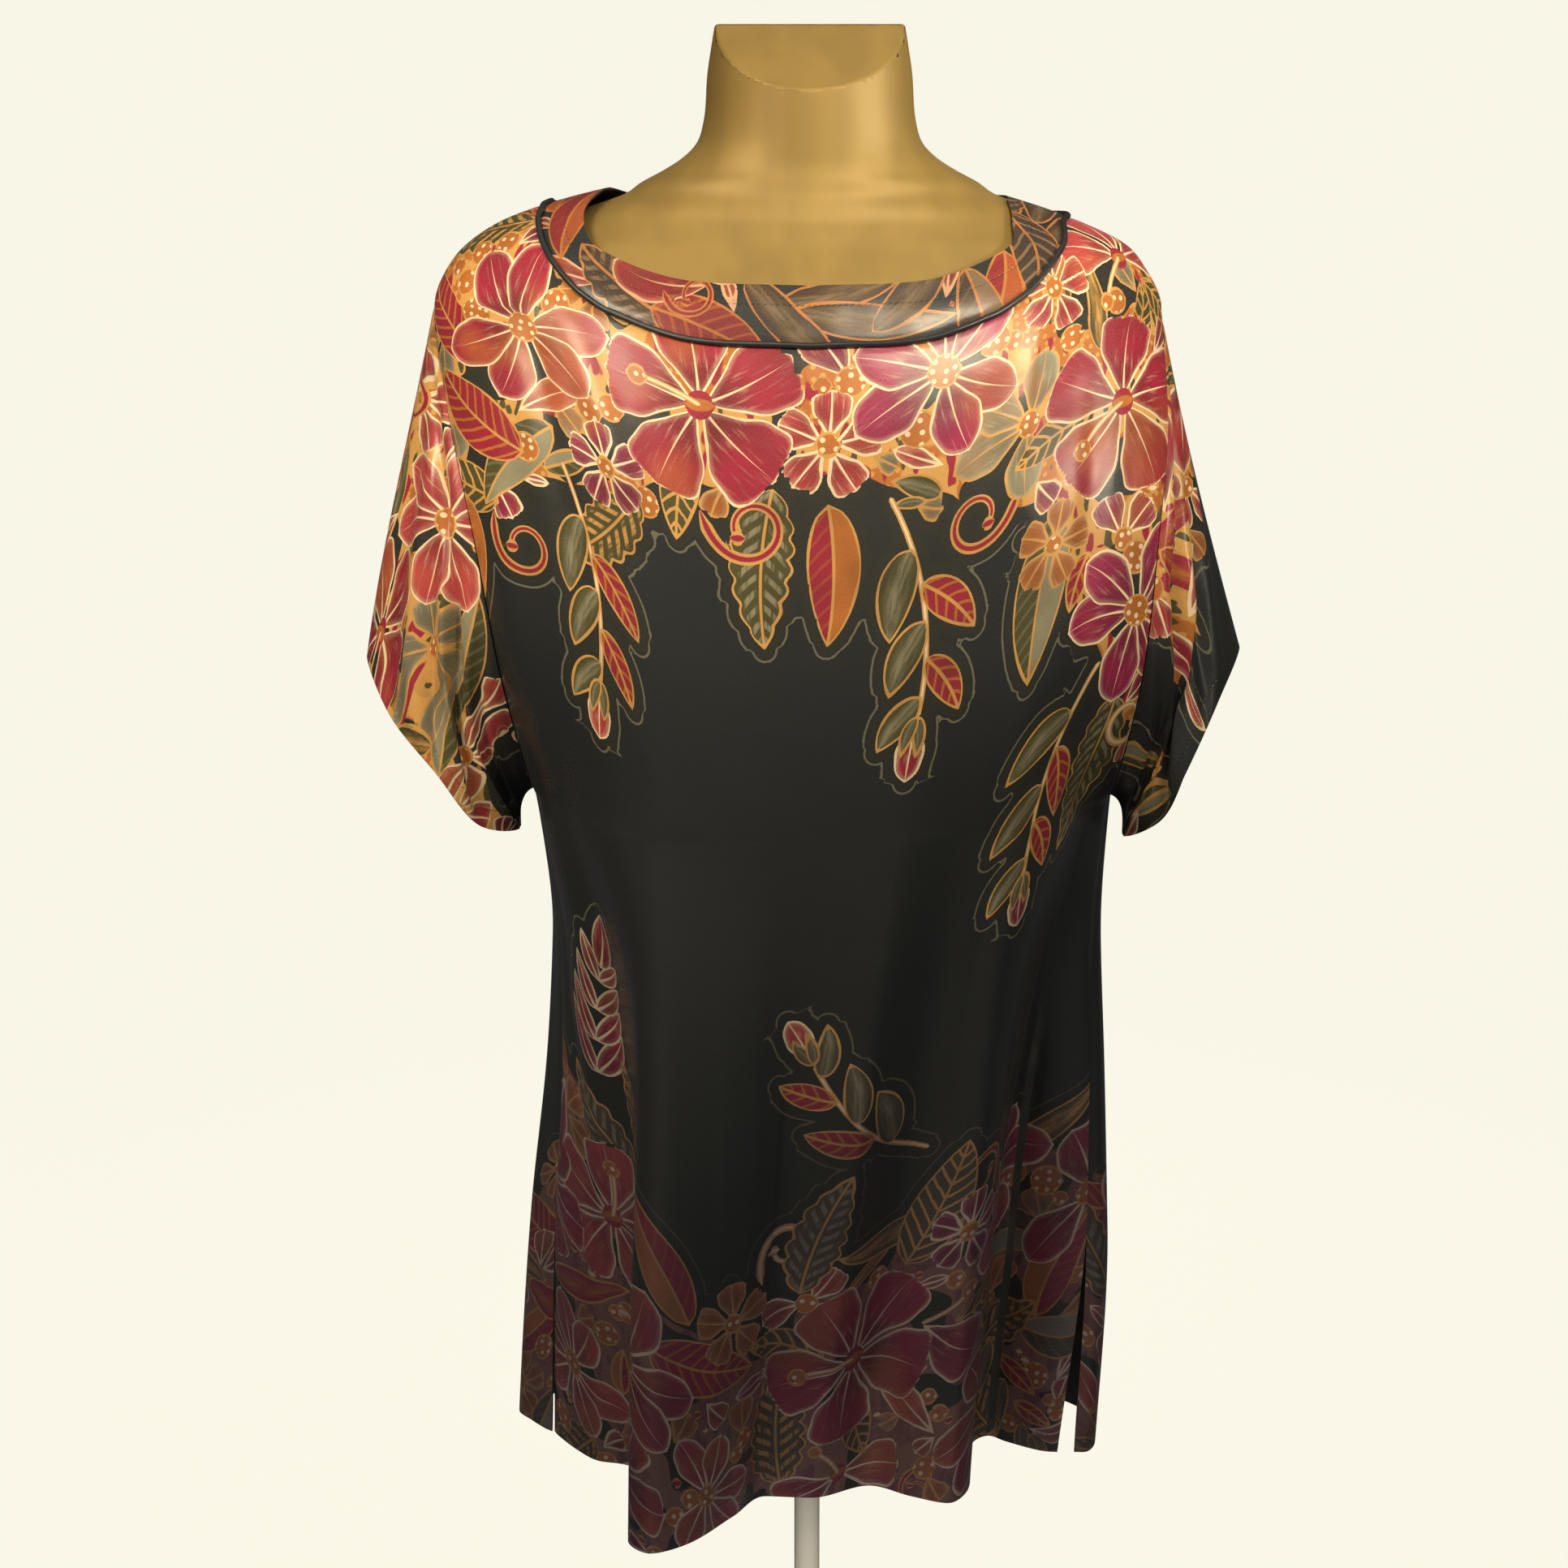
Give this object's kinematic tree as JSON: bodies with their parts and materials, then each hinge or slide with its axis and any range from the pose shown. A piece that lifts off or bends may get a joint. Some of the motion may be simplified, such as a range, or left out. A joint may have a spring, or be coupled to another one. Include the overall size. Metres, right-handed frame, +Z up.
{
  "type": "tunic dress on a dress form",
  "caption": "Short-sleeved satin tunic dress with a scooped, piped neck band and side vents, worn on a limbless gold form with a slim pole and round base.",
  "frame": {"origin": "on the floor, at the middle of the round base's underside, under the form's neck", "axes": "+Z up, -Y to the front of the dress, +X to the right of a front view, which is the wearer's left"},
  "size_m": [0.5154, 0.3, 1.0605],
  "materials": {
    "printed_satin": "black satin with a floral print in crimson, orange, gold and olive green",
    "black_satin": "plain black satin, as on the piping",
    "form_gold": "smooth metallic gold paint on plastic, satin sheen",
    "stand_ivory": "ivory powder coat on steel"
  },
  "bodies": {
    "root": {"front": "printed_satin", "back": "printed_satin", "sleeve_left": "printed_satin", "sleeve_right": "printed_satin", "neck_band_front": "printed_satin", "neck_band_back": "printed_satin", "piping": "black_satin", "dress_form": "form_gold", "pole": "stand_ivory", "base": "stand_ivory"}
  },
  "joints": []
}
